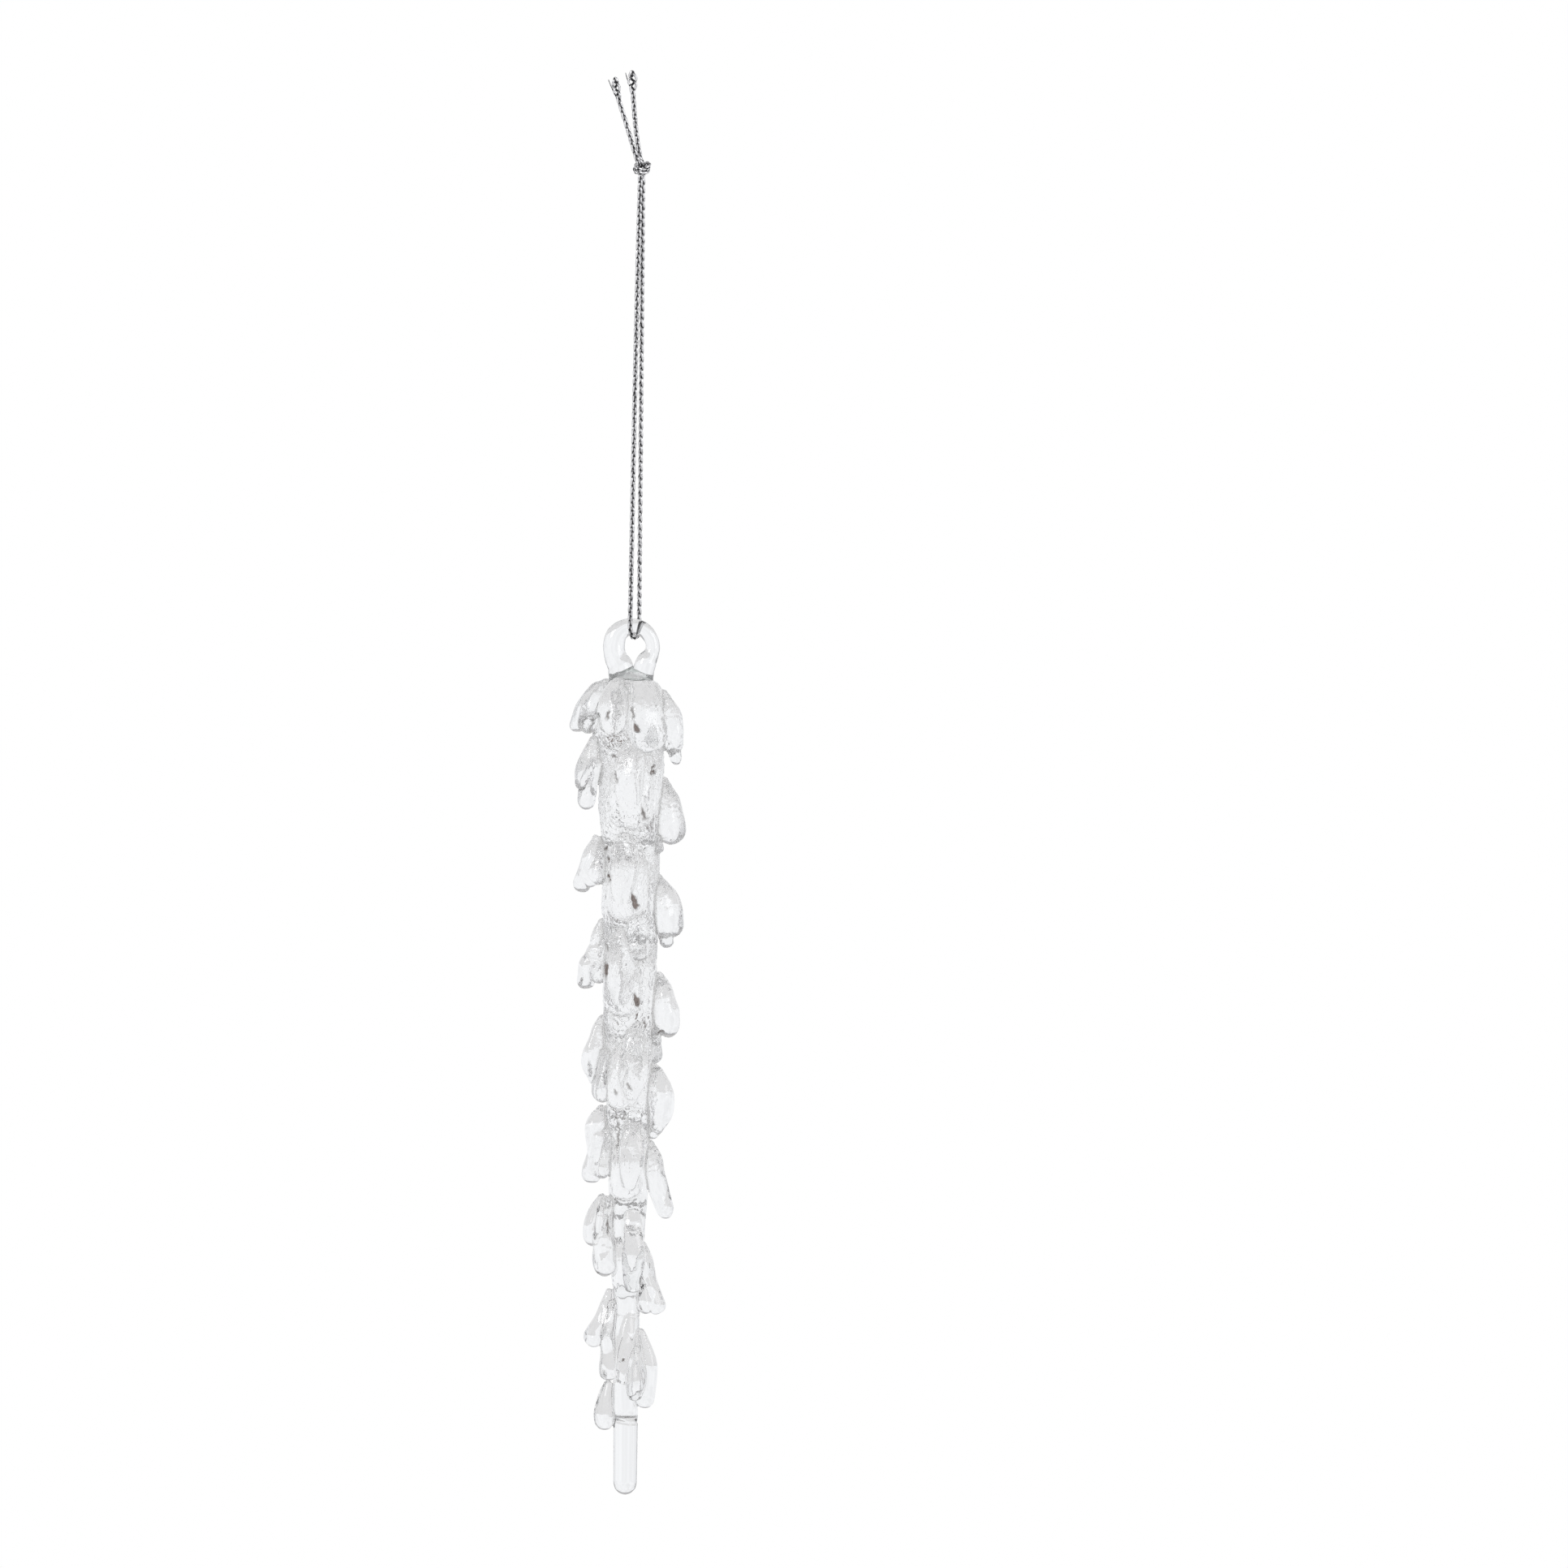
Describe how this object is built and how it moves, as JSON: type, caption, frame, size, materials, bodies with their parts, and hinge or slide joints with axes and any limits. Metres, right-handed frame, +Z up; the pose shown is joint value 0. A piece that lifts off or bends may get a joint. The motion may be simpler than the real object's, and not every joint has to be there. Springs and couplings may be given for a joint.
{
  "type": "hanging ornament",
  "caption": "Clear glass icicle ornament with pendent drips and a bent glass eye, hung in a doubled metallic cord tied in a knot.",
  "frame": {"origin": "hanging point, in the middle of the knot that closes the cord loop", "axes": "+Z up along the taut cord, -Y the side the broad face of the glass eye is seen from, +X to the viewer's right"},
  "size_m": [0.0266, 0.0245, 0.3266],
  "materials": {
    "clear_glass": "clear, fire polished",
    "sugared_glass": "clear with a fine sugar-like frit texture",
    "weld_glass": "clear, greyish where the feet are welded",
    "metallic_braid": "silver and dark grey metallic braid"
  },
  "bodies": {
    "knot": {"knot": "metallic_braid", "cord_tail_left": "metallic_braid", "cord_tail_right": "metallic_braid"},
    "cord": {"cord_leg_front": "metallic_braid", "cord_leg_rear": "metallic_braid"},
    "turn": {"cord_turn": "metallic_braid"},
    "icicle": {"centre_rod": "clear_glass", "drip_back_1": "clear_glass", "drip_back_2": "clear_glass", "drip_back_3": "clear_glass", "drip_back_4": "clear_glass", "drip_back_5": "clear_glass", "drip_back_6": "clear_glass", "drip_back_7": "clear_glass", "drip_back_8": "clear_glass", "drip_front_1": "clear_glass", "drip_front_1_low": "clear_glass", "drip_front_2": "clear_glass", "drip_front_3": "clear_glass", "drip_front_4": "clear_glass", "drip_front_5": "clear_glass", "drip_front_6": "clear_glass", "drip_front_7": "clear_glass", "drip_front_8": "clear_glass", "drip_left_1": "clear_glass", "drip_left_10": "clear_glass", "drip_left_2": "clear_glass", "drip_left_2_low": "clear_glass", "drip_left_3": "clear_glass", "drip_left_4": "clear_glass", "drip_left_5": "clear_glass", "drip_left_5_low": "clear_glass", "drip_left_6": "clear_glass", "drip_left_7": "clear_glass", "drip_left_7_low": "clear_glass", "drip_left_8": "clear_glass", "drip_left_9": "clear_glass", "drip_right_1": "clear_glass", "drip_right_2": "clear_glass", "drip_right_3": "clear_glass", "drip_right_4": "clear_glass", "drip_right_5": "clear_glass", "drip_right_6": "clear_glass", "drip_right_7": "clear_glass", "drip_right_8": "clear_glass", "eye_weld": "weld_glass", "gather_1": "sugared_glass", "gather_2": "sugared_glass", "gather_3": "sugared_glass", "gather_4": "sugared_glass", "gather_5": "sugared_glass", "gather_6": "sugared_glass", "gather_7": "sugared_glass", "gather_8": "sugared_glass", "gather_9": "clear_glass", "hanging_eye": "clear_glass", "tip": "clear_glass"}
  },
  "joints": [
    {"name": "cord_swing", "type": "hinge", "parent": "knot", "child": "cord", "pos_m": [0, 0, 0], "axis": [0, 1, 0], "range_deg": [-45, 45]},
    {"name": "cord_twist", "type": "hinge", "parent": "cord", "child": "turn", "pos_m": [0, 0, -0.1014], "axis": [0, 0, 1], "range_deg": [-180, 180]},
    {"name": "icicle_swing", "type": "hinge", "parent": "turn", "child": "icicle", "pos_m": [0, 0, -0.105], "axis": [1, 0, 0], "range_deg": [-60, 60]}
  ]
}
